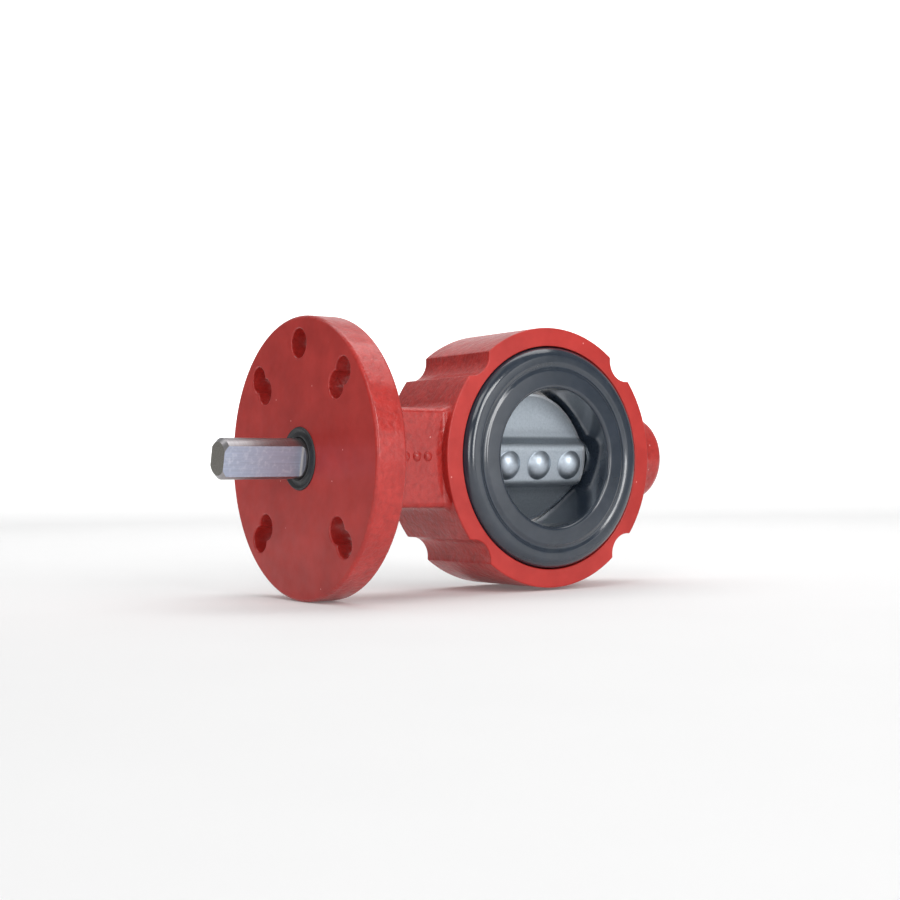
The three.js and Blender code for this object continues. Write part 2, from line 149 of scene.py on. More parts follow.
WEATHER_SEAL_RADIUS = 11.2
WEATHER_SEAL_MOUTH_GAP = 0.05
WEATHER_SEAL_BACK_GAP = 0.3
WEATHER_SEAL_STEM_GAP = 0.1
SEAL_LIP_SIZE = 0.4
SEAL_LIP_OFFSET = 0.5
SEAL_VALLEY_SIZE = 0.5
SEAL_VALLEY_OFFSET = 2.0
SEAL_BEAD_SIZE = 0.55
SEAL_BEAD_INSET = 0.6
SEAL_BEAD_DEPTH = 0.7

SEAT_FACE = SEAT_HIGH.y
SEAT_RADIUS = SEAT_HIGH.z
SEAT_BORE_RADIUS = 26.3
SEAT_LIP_ROUND = 1.4
SEAT_RIM_ROUND = 4.0
SEAT_GROOVE_RADIUS = 34.4
SEAT_GROOVE_HALF_WIDTH = 1.9
SEAT_GROOVE_DEPTH = 0.62
SEAT_SPOT_RADIUS = 9.6  # a round flat spot in the rubber for each end of the hub
SEAT_SPOT_X = 26.2  # how far from the middle they lie
SEAT_STEM_HOLE_RADIUS = 7.3
BACKING_HALF_WIDTH = BACKING_HIGH.y
BACKING_INNER_RADIUS = 33.3
BACKING_GAP = 0.1

DISC_RADIUS = 26.0
DISC_POLISH_AND_HIGHLIGHT_WIDTH = 0.9  # of the rim, polished and lightened as a painted highlight
DISC_EDGE_REACH = 0.1  # a face this near the ball is the disc's edge
HUB_END_X = DISC_HIGH.x
HUB_END_RADIUS = 9.2
HUB_END_EASE = 0.7
HUB_HALF_DEPTH = 12.4
HUB_FACE_HALF_HEIGHT = 5.5
HUB_CORNER = 3.0
HUB_CORNER_TURN = 80  # degrees
DISC_SECTION = [  # (y, z) from the hub's flank out to the disc's edge
    (9.2, 8.75), (7.4, 9.6), (6.4, 11.1), (5.1, 13.8), (3.1, 20.0), (1.5, 26.6),
]
DISC_BLANK_PAST = 1.0  # how far the section is drawn out past the ball
ORING_SEAT_RADIUS = 4.8
ORING_SEAT_DEPTH = 1.6

PIN_POSITIONS = [-15.0, 0.0, 15.0]
PIN_SHANK_RADIUS = 2.5
PIN_HEAD_RADIUS = 5.7
PIN_HEAD_HEIGHT = 3.2
PIN_HEAD_EDGE = 0.15
PIN_HEAD_UNDERCUT = 0.05
PIN_TAIL = 12.1
PIN_TAIL_CHAMFER = 0.4

PAST = 4.0  # how far a cutting shape runs past what it cuts

# ---- how finely the curves are drawn, and which edges stay sharp ------------------------------

LARGE_STEPS = 288
MEDIUM_STEPS = 128
SMALL_STEPS = 64
RING_STEPS = 864
DOUBLED_HOLE_STEPS = 96
PIP_STEPS = 32
CORNER_STEPS = 8
NECK_FILLET_STEPS = 8
BOSS_FILLET_STEPS = 10
GROOVE_STEPS = 12
CURVE_STEPS = 5
BALL_STEPS = 96
TIP_ANGLE = 1  # degrees, the part of a ball or a dome left flat at its tip
DISC_STATIONS = 24

SHARP_ANGLE = 32.0  # degrees, as are the next two
SHARP_ANGLE_TURNED = 40.0
EASED_ANGLE = 28.0
EASED_SEGMENTS = 3


# ---- mesh helpers -----------------------------------------------------------------------------

def bridged(bm, low, high, count):
    """Joins two rows of points by so many faces. One to each point goes all the way round."""
    for i in range(count):
        j = (i + 1) % len(low)
        bm.faces.new((low[i], low[j], high[j], high[i]))


def made(name, bm):
    """A new object that holds the mesh drawn in bm."""
    mesh = bpy.data.meshes.new(name)
    bm.to_mesh(mesh)
    bm.free()
    piece = bpy.data.objects.new(name, mesh)
    bpy.context.scene.collection.objects.link(piece)
    return piece


def lofted(name, loops, closed=False):
    """A solid over loops of equal length: capped at both ends, or joined round if closed."""
    bm = bmesh.new()
    rows = [[bm.verts.new(point) for point in loop] for loop in loops]
    pairs = list(zip(rows, rows[1:]))
    if closed:
        pairs.append((rows[-1], rows[0]))
    else:
        bm.faces.new(rows[0])
        bm.faces.new(rows[-1])
    for low, high in pairs:
        bridged(bm, low, high, len(low))
    bmesh.ops.scale(bm, vec=(MM, MM, MM), verts=bm.verts)
    bmesh.ops.recalc_face_normals(bm, faces=bm.faces)
    return made(name, bm)


def round_loop(along, radius, axis, steps):
    """The points of a circle about the axis, X or Y."""
    points = []
    for i in range(steps):
        angle = 2 * math.pi * i / steps
        across, up = radius * math.cos(angle), radius * math.sin(angle)
        points.append((along, across, up) if axis == "X" else (across, along, up))
    return points


def turned(name, outline, axis="X", steps=MEDIUM_STEPS):
    """A solid of revolution with flat ends. The outline is (along, radius) pairs."""
    return lofted(name, [round_loop(along, radius, axis, steps) for along, radius in outline])


def turned_ring(name, outline, axis="X", steps=MEDIUM_STEPS):
    """A solid ring of revolution. The outline goes once round the ring's section."""
    loops = [round_loop(along, radius, axis, steps) for along, radius in outline]
    return lofted(name, loops, closed=True)


def arc(along, radius, size, start, end, steps):
    """Points of an arc about (along, radius), with angles in degrees from the along direction."""
    points = []
    for i in range(steps + 1):
        angle = math.radians(start + (end - start) * i / steps)
        points.append((along + size * math.cos(angle), radius + size * math.sin(angle)))
    return points


def rod(low, high, radius, axis="X", at=(0.0, 0.0)):
    """A plain round cutter along the axis, X or Y, moved across it."""
    piece = turned("tool", [(low, radius), (high, radius)], axis, SMALL_STEPS)
    return moved(piece, (0.0, *at) if axis == "X" else (at[0], 0.0, at[1]))


def moved(piece, offset):
    """Moves the mesh, because every piece's object stays at the origin."""
    piece.data.transform(Matrix.Translation(Vector(offset) * MM))
    return piece


def settled(piece):
    """Applies the piece's modifiers to its mesh."""
    graph = bpy.context.evaluated_depsgraph_get()
    mesh = bpy.data.meshes.new_from_object(piece.evaluated_get(graph))
    before = piece.data
    piece.modifiers.clear()
    piece.data = mesh
    bpy.data.meshes.remove(before)
    mesh.name = piece.name
    return piece


def combined(piece, tools, operation):
    """The piece after one boolean with each tool in turn. The tools are used up."""
    for tool in tools:
        step = piece.modifiers.new("combine", "BOOLEAN")
        step.object = tool
        step.operation = operation
        step.solver = "EXACT"
        settled(piece)
        bpy.data.objects.remove(tool)
    return piece


def bundled(pieces):
    """One object that holds the meshes of several pieces which lie apart."""
    bm = bmesh.new()
    for piece in pieces:
        bm.from_mesh(piece.data)
    bundle = pieces[0]
    bm.to_mesh(bundle.data)
    bm.free()
    for piece in pieces[1:]:
        bpy.data.objects.remove(piece)
    return bundle


def joined(piece, *others):
    """The piece with the others grown onto it."""
    return combined(piece, others, "UNION")


def cut(piece, *tools):
    """The piece with the tools' shapes taken out of it."""
    return combined(piece, tools, "DIFFERENCE")


def smoothed(piece, sharp_angle=SHARP_ANGLE):
    """Smooth shading that keeps flat faces flat and keeps edges sharper than the angle."""
    piece.data.shade_smooth()
    piece.data.set_sharp_from_angle(angle=math.radians(sharp_angle))
    step = piece.modifiers.new("flat faces", "WEIGHTED_NORMAL")
    step.keep_sharp = True
    return piece


def eased(piece, width):
    """Rounds the sharp edges."""
    step = piece.modifiers.new("eased edges", "BEVEL")
    step.width = width * MM
    step.segments = EASED_SEGMENTS
    step.limit_method = "ANGLE"
    step.angle_limit = math.radians(EASED_ANGLE)
    step.use_clamp_overlap = True
    return settled(piece)


def opened(piece):
    """Turns a piece drawn with the disc shut to the angle at which the disc stands."""
    piece.data.transform(Matrix.Rotation(DISC_OPEN, 4, "X"))
    return piece


def placed(piece, body, node):
    """Says what the piece rides on and which CAD node it stands for, and hides that node."""
    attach(piece, body)
    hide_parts(node)
    return piece


def finished(piece, *materials):
    """Gives the piece its materials, one to a slot."""
    piece.data.materials.clear()
    for material in materials:
        piece.data.materials.append(material)
    return piece


# ---- materials --------------------------------------------------------------------------------

NOISE_ROUGHNESS = 0.55
NOISE_REACH = (0.3, 0.7)  # nearly all of a noise's values lie between these
MIX_COLOURS = (6, 7)  # the Mix node's two colour inputs, which have no names of their own
MIX_RESULT = 2


class Finish:
    """A procedural material: one Principled shader and the node patterns that drive it.

    What is fixed goes straight to the shader's inputs, by name, with _ for a space.
    """

    def __init__(self, name, **fixed):
        self.material = bpy.data.materials.new(name)
        self.material.use_nodes = True
        self.nodes = self.material.node_tree.nodes
        self.links = self.material.node_tree.links
        self.shader = self.nodes["Principled BSDF"]
        self.place = self.nodes.new("ShaderNodeTexCoord").outputs["Object"]
        self.relief = None
        for socket, value in fixed.items():
            self.shader.inputs[socket.replace("_", " ")].default_value = value

    def noise(self, grain, detail=3.0, stretch=(1, 1, 1)):
        """Cloudy noise whose grain is a size in millimetres."""
        place = self.nodes.new("ShaderNodeMapping")
        place.inputs["Scale"].default_value = stretch
        self.links.new(self.place, place.inputs["Vector"])
        node = self.nodes.new("ShaderNodeTexNoise")
        node.inputs["Scale"].default_value = 1 / (grain * MM)
        node.inputs["Detail"].default_value = detail
        node.inputs["Roughness"].default_value = NOISE_ROUGHNESS
        self.links.new(place.outputs["Vector"], node.inputs["Vector"])
        return node.outputs["Fac"]

    def cells(self, grain):
        """The distance to the nearest of many scattered points."""
        node = self.nodes.new("ShaderNodeTexVoronoi")
        node.inputs["Scale"].default_value = 1 / (grain * MM)
        self.links.new(self.place, node.inputs["Vector"])
        return node.outputs["Distance"]

    def reach(self):
        """The distance from the middle of the bore."""
        node = self.nodes.new("ShaderNodeVectorMath")
        node.operation = "LENGTH"
        self.links.new(self.place, node.inputs[0])
        return node.outputs["Value"]

    def height(self):
        """The height over the stem's axis."""
        node = self.nodes.new("ShaderNodeSeparateXYZ")
        self.links.new(self.place, node.inputs["Vector"])
        return node.outputs["Z"]

    def ranged(self, value, low, high, to_low=0.0, to_high=1.0):
        """Turns low to high into to_low to to_high, and stops there."""
        node = self.nodes.new("ShaderNodeMapRange")
        node.inputs["From Min"].default_value = low
        node.inputs["From Max"].default_value = high
        node.inputs["To Min"].default_value = to_low
        node.inputs["To Max"].default_value = to_high
        self.links.new(value, node.inputs["Value"])
        return node.outputs["Result"]

    def clouds(self, grain, to_low=0.0, to_high=1.0):
        """Noise spread from to_low to to_high."""
        return self.ranged(self.noise(grain), *NOISE_REACH, to_low, to_high)

    def product(self, first, second):
        """Two values multiplied."""
        node = self.nodes.new("ShaderNodeMath")
        node.operation = "MULTIPLY"
        for value, socket in zip((first, second), node.inputs):
            self.links.new(value, socket)
        return node.outputs["Value"]

    def blend(self, amount, first, second):
        """Mixes two colours, each an (r, g, b) or another blend."""
        node = self.nodes.new("ShaderNodeMix")
        node.data_type = "RGBA"
        self.links.new(amount, node.inputs["Factor"])
        for number, value in zip(MIX_COLOURS, (first, second)):
            if isinstance(value, tuple):
                node.inputs[number].default_value = (*value, 1.0)
            else:
                self.links.new(value, node.inputs[number])
        return node.outputs[MIX_RESULT]

    def bump(self, height, depth, strength):
        """Adds relief of a depth in millimetres."""
        node = self.nodes.new("ShaderNodeBump")
        node.inputs["Strength"].default_value = strength
        node.inputs["Distance"].default_value = depth * MM
        self.links.new(height, node.inputs["Height"])
        if self.relief is not None:
            self.links.new(self.relief, node.inputs["Normal"])
        self.relief = node.outputs["Normal"]

    def drive(self, socket, value):
        """Lets a pattern set one of the shader's inputs."""
        self.links.new(value, self.shader.inputs[socket])

    def done(self):
        """The finished material, with its relief connected."""
        if self.relief is not None:
            self.links.new(self.relief, self.shader.inputs["Normal"])
        return self.material


RED = (0.47, 0.030, 0.024)
RED_DEEP = (0.36, 0.018, 0.014)
# painted shade: the dark red laid into the hollows of the cast paint's lumps
RED_PIT_SHADE = (0.30, 0.014, 0.011)
# painted highlight: the pale pink of the glint specks scattered in the paint's colour
RED_GLINT = (0.80, 0.34, 0.32)
SEAT_TONES = (0.022, 0.031, 0.046), (0.017, 0.025, 0.037)
SEAT_DUST = (0.16, 0.17, 0.18)
BLACK_TONES = (0.014, 0.016, 0.019), (0.024, 0.026, 0.029)
# painted highlight: the pale tone laid on the disc's rim
RIM_HIGHLIGHT_TONE = (0.86, 0.90, 0.95)
RIM_POLISH = 0.6  # of the roughness is left there
RIM_BLEND = 0.15  # half of the width over which the polish and the painted highlight start
PAPER_TONES = (0.74, 0.74, 0.74), (0.76, 0.76, 0.76)
WHITE = (1.0, 1.0, 1.0, 1.0)


def red_paint(name, coat, cast):
    """Red enamel: thin orange peel where it is machined, lumpy where it covers raw casting, with
    painted shade in the lumps' hollows and pale specks painted in as glints.
    """
    paint = Finish(name, Coat_Weight=coat, Coat_Roughness=0.10, Specular_IOR_Level=0.35, IOR=1.5)
    tone = paint.blend(paint.clouds(12.0), RED, RED_DEEP)
    if cast:
        lumps = paint.noise(2.2)
        # painted shade: where the lumps are low the colour darkens, as shade in their hollows
        painted_pit_shade = paint.ranged(lumps, 0.30, 0.56, 0.75, 0.0)
        tone = paint.blend(painted_pit_shade, tone, RED_PIT_SHADE)
        paint.bump(lumps, depth=0.55, strength=0.9)
    # painted highlight: small pale pink specks scattered through the colour stand in for glints on
    # the paint
    painted_glints = paint.ranged(paint.cells(7.0), 0.05, 0.035, 0.0, 0.7)
    paint.drive("Base Color", paint.blend(painted_glints, tone, RED_GLINT))
    paint.drive("Roughness", paint.clouds(5.0, 0.34, 0.50))
    paint.bump(paint.noise(1.0, detail=1.0), depth=0.10 if cast else 0.008, strength=0.7)
    return paint.done()


def seat_rubber():
    """Smooth moulded rubber with a little dust on it."""
    rubber = Finish("seat rubber", IOR=1.52, Coat_Weight=0.5, Coat_Roughness=0.13)
    tone = rubber.blend(rubber.clouds(9.0), *SEAT_TONES)
    dust = rubber.ranged(rubber.noise(7.0, detail=2.0), 0.50, 0.75, 0.0, 0.05)
    rubber.drive("Base Color", rubber.blend(dust, tone, SEAT_DUST))
    rubber.drive("Roughness", rubber.clouds(3.0, 0.14, 0.22))
    rubber.bump(rubber.noise(5.0, detail=1.0), depth=0.015, strength=0.5)
    return rubber.done()


def black_rubber():
    """Dull rubber of seals and O-rings."""
    rubber = Finish("black rubber", IOR=1.52)
    mottle = rubber.ranged(rubber.noise(2.0), 0.35, 0.65)
    rubber.drive("Base Color", rubber.blend(mottle, *BLACK_TONES))
    rubber.drive("Roughness", rubber.clouds(1.0, 0.38, 0.55))
    rubber.bump(rubber.noise(0.4, detail=2.0), depth=0.02, strength=0.7)
    return rubber.done()


def metal(name, light, dark, grain, smooth, rough, stretch=(1, 1, 1), depth=0.02, wear=None,
          bare=1.0, rim=None):
    """Bare metal whose tone, roughness and fine relief follow one grain in millimetres.

    Past the rim, a distance from the middle of the bore, it is polished, and its colour turns pale as
    a painted highlight.
    """
    surface = Finish(name, Metallic=bare)
    pattern = surface.noise(grain, detail=4.0, stretch=stretch)
    tone = surface.blend(surface.ranged(pattern, *NOISE_REACH), light, dark)
    if wear is not None:
        scuffs = surface.ranged(surface.noise(1.4, detail=5.0), 0.50, 0.70)
        tone = surface.blend(scuffs, tone, wear)
    matt = surface.ranged(pattern, 0.25, 0.75, smooth, rough)
    if rim is not None:
        edge = (rim - RIM_BLEND) * MM, (rim + RIM_BLEND) * MM
        # painted highlight: past the rim the colour turns pale; the polish itself is the lower
        # roughness below
        tone = surface.blend(surface.ranged(surface.reach(), *edge), tone, RIM_HIGHLIGHT_TONE)
        matt = surface.product(matt, surface.ranged(surface.reach(), *edge, 1.0, RIM_POLISH))
    surface.drive("Base Color", tone)
    surface.drive("Roughness", matt)
    surface.bump(pattern, depth, strength=0.6)
    return surface.done()


def moulded(name, light, dark, grain):
    """Plain moulded or machined plastic for the pieces hidden inside."""
    plastic = Finish(name, IOR=1.48)
    plastic.drive("Base Color", plastic.blend(plastic.clouds(grain), light, dark))
    plastic.drive("Roughness", plastic.clouds(grain / 2, 0.4, 0.6))
    plastic.bump(plastic.noise(grain / 4), depth=0.02, strength=0.6)
    return plastic.done()


def paper(name, **fixed):
    """The pale paper of the floor and of what stands round it."""
    pale = Finish(name, Emission_Color=WHITE, **fixed)
    pale.drive("Base Color", pale.blend(pale.noise(40.0), *PAPER_TONES))
    pale.drive("Roughness", pale.clouds(20.0, 0.85, 0.95))
    return pale


ALONG_X = (0.04, 1, 1)  # stretches a pattern into fine lines along the stem
ROUND_X = (1, 0.06, 0.06)  # and into fine lines round it
PAINT_CAST = red_paint("red paint on casting", coat=0.4, cast=True)
PAINT_MACHINED = red_paint("red paint on machined faces", coat=0.12, cast=False)
SEAT_RUBBER = seat_rubber()
BLACK_RUBBER = black_rubber()
DISC_STEEL = metal("cast stainless", (0.47, 0.52, 0.57), (0.40, 0.45, 0.50), grain=0.8,
                   smooth=0.48, rough=0.62, rim=DISC_RADIUS - DISC_POLISH_AND_HIGHLIGHT_WIDTH)
EDGE_STEEL = metal("polished stainless edge", (0.60, 0.65, 0.70), (0.52, 0.57, 0.62), grain=0.6,
                   smooth=0.22, rough=0.36)
PIN_STEEL = metal("satin pin heads", (0.46, 0.52, 0.58), (0.39, 0.44, 0.50), grain=0.9,
                  smooth=0.40, rough=0.50)
STEM_FLATS = metal("ground flats", (0.42, 0.49, 0.62), (0.34, 0.39, 0.50), grain=0.5,
                   smooth=0.34, rough=0.48, stretch=ALONG_X, depth=0.012,
                   wear=(0.50, 0.56, 0.66), bare=0.6)
STEM_ROUND = metal("turned stem", (0.38, 0.37, 0.38), (0.31, 0.30, 0.31), grain=0.5,
                   smooth=0.30, rough=0.44, stretch=ROUND_X, depth=0.012)
STEM_END = metal("sawn stem end", (0.34, 0.33, 0.30), (0.25, 0.24, 0.22), grain=0.5,
                 smooth=0.42, rough=0.60)
BRASS = metal("turned brass", (0.72, 0.52, 0.22), (0.60, 0.42, 0.16), grain=0.4,
              smooth=0.24, rough=0.40)
SPRING_STEEL = metal("spring steel", (0.26, 0.26, 0.28), (0.18, 0.18, 0.20), grain=0.6,
                     smooth=0.28, rough=0.45)
ACETAL = moulded("natural acetal", (0.72, 0.71, 0.66), (0.64, 0.63, 0.57), grain=2.0)
PHENOLIC = moulded("phenolic laminate", (0.16, 0.08, 0.035), (0.10, 0.048, 0.02), grain=1.2)


# ---- the body ---------------------------------------------------------------------------------

def notched_radius(angle):
    """The ring's outline: a circle with a scallop every quarter turn, its corners eased."""
    quarter = math.pi / 2
    off = (angle % quarter) - quarter / 2
    reach = NOTCH_RADIUS ** 2 - (NOTCH_CIRCLE_RADIUS * math.sin(off)) ** 2
    if reach <= 0:
        return RING_RADIUS
    scallop = NOTCH_CIRCLE_RADIUS * math.cos(off) - math.sqrt(reach)
    nearer = max(NOTCH_EASE - abs(RING_RADIUS - scallop), 0.0) / NOTCH_EASE
    return min(RING_RADIUS, scallop) - nearer ** 2 * NOTCH_EASE / 4


def ring_loop(y, inset):
    """The ring's outline at y, drawn in all round by inset."""
    points = []
    for i in range(RING_STEPS):
        angle = 2 * math.pi * i / RING_STEPS
        radius = notched_radius(angle) - inset
        points.append((radius * math.cos(angle), y, radius * math.sin(angle)))
    return points


def body_ring():
    """The wafer ring, with both its outer edges rounded."""
    ease = arc(RING_HALF_WIDTH - RING_EASE, -RING_EASE, RING_EASE, 90, 0, 4)
    half = [(y, -inset) for y, inset in ease]
    stations = [(-y, inset) for y, inset in reversed(half)] + half
    return lofted("painted_body", [ring_loop(y, inset) for y, inset in stations])


def body_flange():
    """The round actuator flange, with both its edges rounded."""
    inner = FLANGE_RADIUS - FLANGE_EASE
    front_edge = arc(FLANGE_FACE + FLANGE_EASE, inner, FLANGE_EASE, 180, 90, 5)
    back_edge = arc(FLANGE_BACK - FLANGE_EASE, inner, FLANGE_EASE, 90, 0, 5)
    return turned("flange", front_edge + back_edge, steps=LARGE_STEPS)


def neck_section(flare):
    """The neck's section as (y, z): a rectangle with round corners, grown all round by flare."""
    corner = NECK_CORNER + flare
    points = []
    for quarter, (side_y, side_z) in enumerate([(1, 1), (-1, 1), (-1, -1), (1, -1)]):
        for step in range(CORNER_STEPS + 1):
            angle = math.pi / 2 * (quarter + step / CORNER_STEPS)
            y = side_y * (NECK_HALF_WIDTH - NECK_CORNER) + corner * math.cos(angle)
            z = side_z * (NECK_HALF_HEIGHT - NECK_CORNER) + corner * math.sin(angle)
            points.append((y, z))
    return points


def body_neck():
    """The neck flares into the back of the flange and follows the ring's curve at its other end."""
    fillet = []  # how far along from the foot, and how much wider it is there
    for i in range(NECK_FILLET_STEPS + 1):
        lean = math.pi / 2 * i / NECK_FILLET_STEPS
        fillet.append((NECK_FILLET * (1 - math.cos(lean)), NECK_FILLET * (1 - math.sin(lean))))
    foot = neck_section(NECK_FILLET)
    loops = [[(FLANGE_BACK - NECK_ROOT, y, z) for y, z in foot]]
    for along, flare in fillet:
        loops.append([(FLANGE_BACK + along, y, z) for y, z in neck_section(flare)])
    for along, flare in reversed(fillet):
        loop = []
        for y, z in neck_section(flare):
            reach = math.sqrt(RING_RADIUS ** 2 - z ** 2) - RING_RADIUS
            loop.append((-RING_RADIUS - along - reach, y, z))
        loops.append(loop)
    loops.append([(PAST - RING_BORE_RADIUS, y, z) for y, z in foot])
    return lofted("neck", loops)


def boss_loop(half_width, half_height, x, over_ring=False):
    """An oval at x, or with its every point at a height of x over the ring's curve."""
    points = []
    for i in range(MEDIUM_STEPS):
        angle = 2 * math.pi * i / MEDIUM_STEPS
        z = half_height * math.sin(angle)
        curve = math.sqrt(RING_RADIUS ** 2 - z ** 2) if over_ring else 0.0
        points.append((curve + x, half_width * math.cos(angle), z))
    return points


def boss_foot(spread):
    """Half the width and half the height of the boss where it spreads out to its foot."""
    return BOSS_RADIUS + BOSS_FLARE_ALONG_BORE * spread, BOSS_RADIUS + BOSS_FLARE_ACROSS * spread


def body_boss():
    """A foot that flares out onto the ring's curve, a straight side and a rounded end."""
    loops = [boss_loop(*boss_foot(1.0), RING_BORE_RADIUS - PAST)]
    for i in range(BOSS_FILLET_STEPS + 1):
        lean = math.pi / 2 * i / BOSS_FILLET_STEPS
        rise = BOSS_FILLET * (1 - math.cos(lean)) - BOSS_SINK
        loops.append(boss_loop(*boss_foot(1 - math.sin(lean)), rise, over_ring=True))
    for x, radius in arc(BOSS_END - BOSS_ROUND, BOSS_RADIUS - BOSS_ROUND, BOSS_ROUND, 90, 0, 8):
        loops.append(boss_loop(radius, radius, x))
    return lofted("boss", loops)


def hole_stations():
    """Along the hole, how much wider it is cut: both mouths are rounded."""
    stations = [(FLANGE_FACE - PAST, HOLE_EASE)]
    stations += arc(FLANGE_FACE + HOLE_EASE, HOLE_EASE, HOLE_EASE, 180, 270, 4)
    stations += arc(FLANGE_BACK - HOLE_EASE, HOLE_EASE, HOLE_EASE, 270, 360, 4)
    return stations + [(FLANGE_BACK + PAST, HOLE_EASE)]


def lug_hole():
    """The cutter for the single round hole."""
    outline = [(x, LUG_HOLE_RADIUS + wider) for x, wider in hole_stations()]
    angle = math.radians(LUG_HOLE_ANGLE)
    centre = (0, LUG_HOLE_CIRCLE_RADIUS * math.cos(angle), LUG_HOLE_CIRCLE_RADIUS * math.sin(angle))
    return moved(turned("hole", outline, steps=SMALL_STEPS), centre)


def doubled_hole(angle):
    """The cutter for two overlapping round holes, drawn from the middle between them."""
    inner, outer = LOBE_CIRCLE_RADII
    middle, apart = (inner + outer) / 2, (outer - inner) / 2
    outward = math.radians(angle)
    loops = []
    for x, wider in hole_stations():
        loop = []
        for i in range(DOUBLED_HOLE_STEPS):
            turn = 2 * math.pi * i / DOUBLED_HOLE_STEPS
            lean = abs(math.cos(turn)) * apart
            reach = lean + math.sqrt((LOBE_RADIUS + wider) ** 2 - apart ** 2 + lean ** 2)
            y = middle * math.cos(outward) + reach * math.cos(turn + outward)
            z = middle * math.sin(outward) + reach * math.sin(turn + outward)
            loop.append((x, y, z))
        loops.append(loop)
    return lofted("doubled_hole", loops)


def eased_bore():
    """The cutter for the ring's bore, with its two mouths slightly rounded."""
    wide = RING_BORE_RADIUS + RING_BORE_EASE
    half = arc(RING_HALF_WIDTH - RING_BORE_EASE, wide, RING_BORE_EASE, 270, 360, 3)
    half.append((RING_HALF_WIDTH + PAST, wide))
    outline = [(-along, radius) for along, radius in reversed(half)] + half
    return turned("bore", outline, "Y", LARGE_STEPS)


def stem_channel():
    """The stepped hole for the stem and what carries it, with a groove for each ring in it."""
    seal_floor = SEAL_HIGH.x + WEATHER_SEAL_BACK_GAP
    snap_low, snap_high = (FLANGE_FACE + depth for depth in SNAP_GROOVE_DEPTHS)
    floor = FLANGE_FACE + COUNTERBORE_DEPTH
    near, far = ORING_GROOVE_REACHES
    steps = [
        (FLANGE_FACE - PAST, seal_floor, WEATHER_SEAL_RADIUS + WEATHER_SEAL_MOUTH_GAP),
        (seal_floor, snap_low, COUNTERBORE_RADIUS),
        (snap_low, snap_high, SNAP_GROOVE_RADIUS),
        (snap_high, floor, COUNTERBORE_RADIUS),
        (floor, -far, STEM_BORE_RADIUS),
        (-far, -near, ORING_GROOVE_RADIUS),
        (-near, near, STEM_BORE_RADIUS),
        (near, far, ORING_GROOVE_RADIUS),
        (far, STEM_BORE_END, STEM_BORE_RADIUS),
    ]
    return turned("stem_channel", [(x, radius) for low, high, radius in steps for x in (low, high)])


def casting_marks():
    """Three round pips on the neck, as a foundry leaves, where the real casting is marked."""
    outline = [(-NECK_HALF_WIDTH - along, radius) for along, radius in MARK_OUTLINE]
    return [moved(turned("pip", outline, "Y", PIP_STEPS), (x, 0, MARK_RISE)) for x in MARK_POSITIONS]


def paint_faces(piece):
    """Slot 1 on the machined faces: both ends of the ring and the outside of the flange."""
    for face in piece.data.polygons:
        centre = face.center / MM
        near_ring_end = abs(abs(centre.y) - RING_HALF_WIDTH) < RING_FACE_REACH
        on_ring = near_ring_end and centre.x > FLANGE_BACK
        on_flange = centre.x < FLANGE_FACE + FLANGE_FACE_REACH
        face.material_index = 1 if on_ring or on_flange else 0


def make_body():
    """The red casting: ring, flange, neck, boss and pips, and then everything cut into them."""
    body = joined(body_ring(), body_flange(), body_neck(), body_boss(), bundled(casting_marks()))
    holes = bundled([lug_hole()] + [doubled_hole(angle) for angle in LOBE_ANGLES])
    cut(body, eased_bore(), stem_channel(), holes)
    finished(body, PAINT_CAST, PAINT_MACHINED)
    paint_faces(body)
    smoothed(body)
    return placed(body, STATIC_BODY, "body")


# ---- the seat and the weather seal ------------------------------------------------------------

def seat_face_outline():
    """One rubber face from the bore out to the rim: lip, land, soft groove, band, broad round."""
    lip = arc(SEAT_FACE - SEAT_LIP_ROUND, SEAT_BORE_RADIUS + SEAT_LIP_ROUND, SEAT_LIP_ROUND,
              270, 360, 8)
    groove = []
    for i in range(GROOVE_STEPS + 1):
        across = 2 * i / GROOVE_STEPS - 1
        dip = SEAT_GROOVE_DEPTH * (1 + math.cos(math.pi * across)) / 2
        groove.append((SEAT_FACE - dip, SEAT_GROOVE_RADIUS + across * SEAT_GROOVE_HALF_WIDTH))
    rim = arc(SEAT_FACE - SEAT_RIM_ROUND, SEAT_RADIUS - SEAT_RIM_ROUND, SEAT_RIM_ROUND, 0, 90, 14)
    return lip + groove + rim


def make_seat():
    """The rubber cartridge, hollow at its back for the backing ring."""
    channel = BACKING_HALF_WIDTH + BACKING_GAP
    back = [(channel, SEAT_RADIUS), (channel, BACKING_INNER_RADIUS - BACKING_GAP)]
    half = seat_face_outline() + back
    outline = half + [(-along, radius) for along, radius in reversed(half)]
    seat = turned_ring("rubber_seat", outline, "Y", LARGE_STEPS)
    spots = rod(-SEAT_SPOT_X, SEAT_SPOT_X, SEAT_SPOT_RADIUS)
    cut(seat, spots, rod(-SEAT_RADIUS - PAST, SEAT_RADIUS + PAST, SEAT_STEM_HOLE_RADIUS))
    smoothed(finished(seat, SEAT_RUBBER), SHARP_ANGLE_TURNED)
    return placed(seat, STATIC_BODY, "seat")


